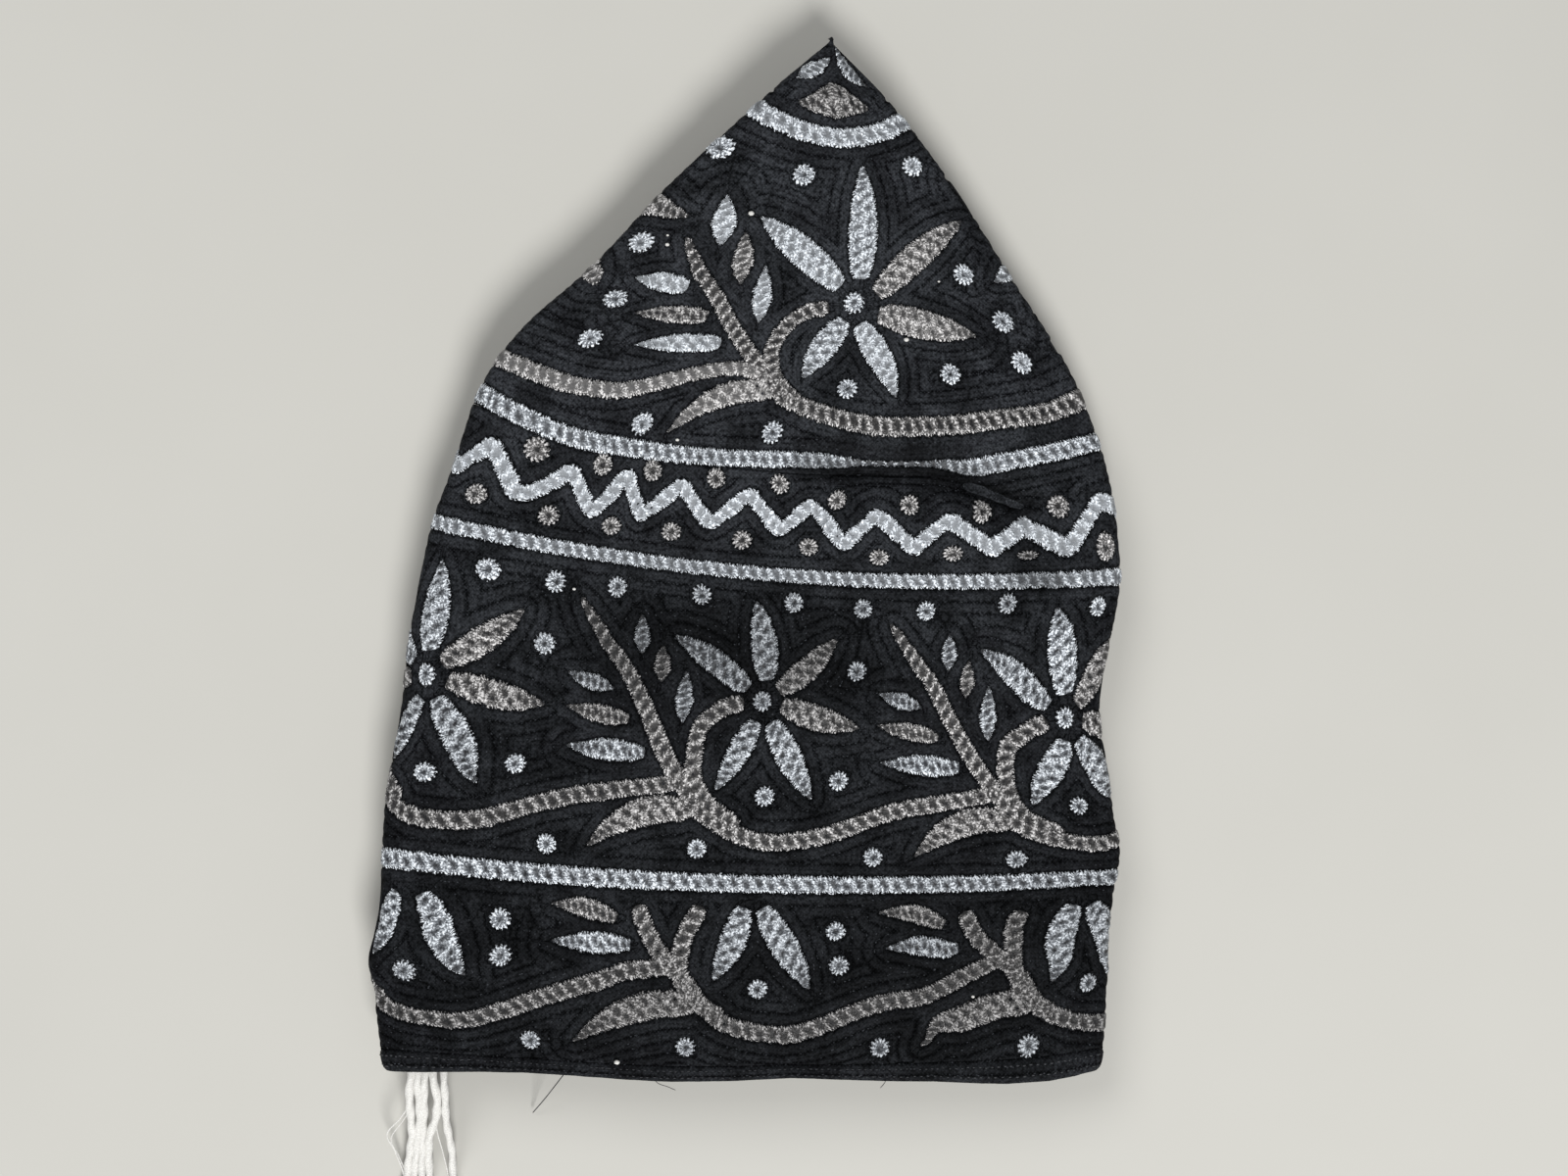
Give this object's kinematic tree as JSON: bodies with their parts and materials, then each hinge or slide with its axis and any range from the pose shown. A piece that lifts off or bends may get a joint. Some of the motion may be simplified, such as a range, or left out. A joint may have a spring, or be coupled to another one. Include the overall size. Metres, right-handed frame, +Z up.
{
  "type": "kuma cap",
  "caption": "Soft cap with a round flat crown on a tall side band, quilted black cloth with raised embroidered lines and a rolled hem, folded flat to a point.",
  "frame": {"origin": "middle of the underside of the whole folded cap with its loose yarns, on the surface it lies on", "axes": "+Z up, out of the front panel; +Y towards the point, which is the crown's centre; -Y out of the head opening"},
  "size_m": [0.1415, 0.2298, 0.0215],
  "materials": {
    "cloth": "quilted black cotton with silver and taupe thread embroidery, matte",
    "hem": "rolled and stitched black cotton edge, matte",
    "yarn": "loose twisted white cotton yarn"
  },
  "bodies": {
    "root": {"crown": "cloth", "side_band": "cloth", "hem": "hem", "loose_threads": "yarn"}
  },
  "joints": []
}
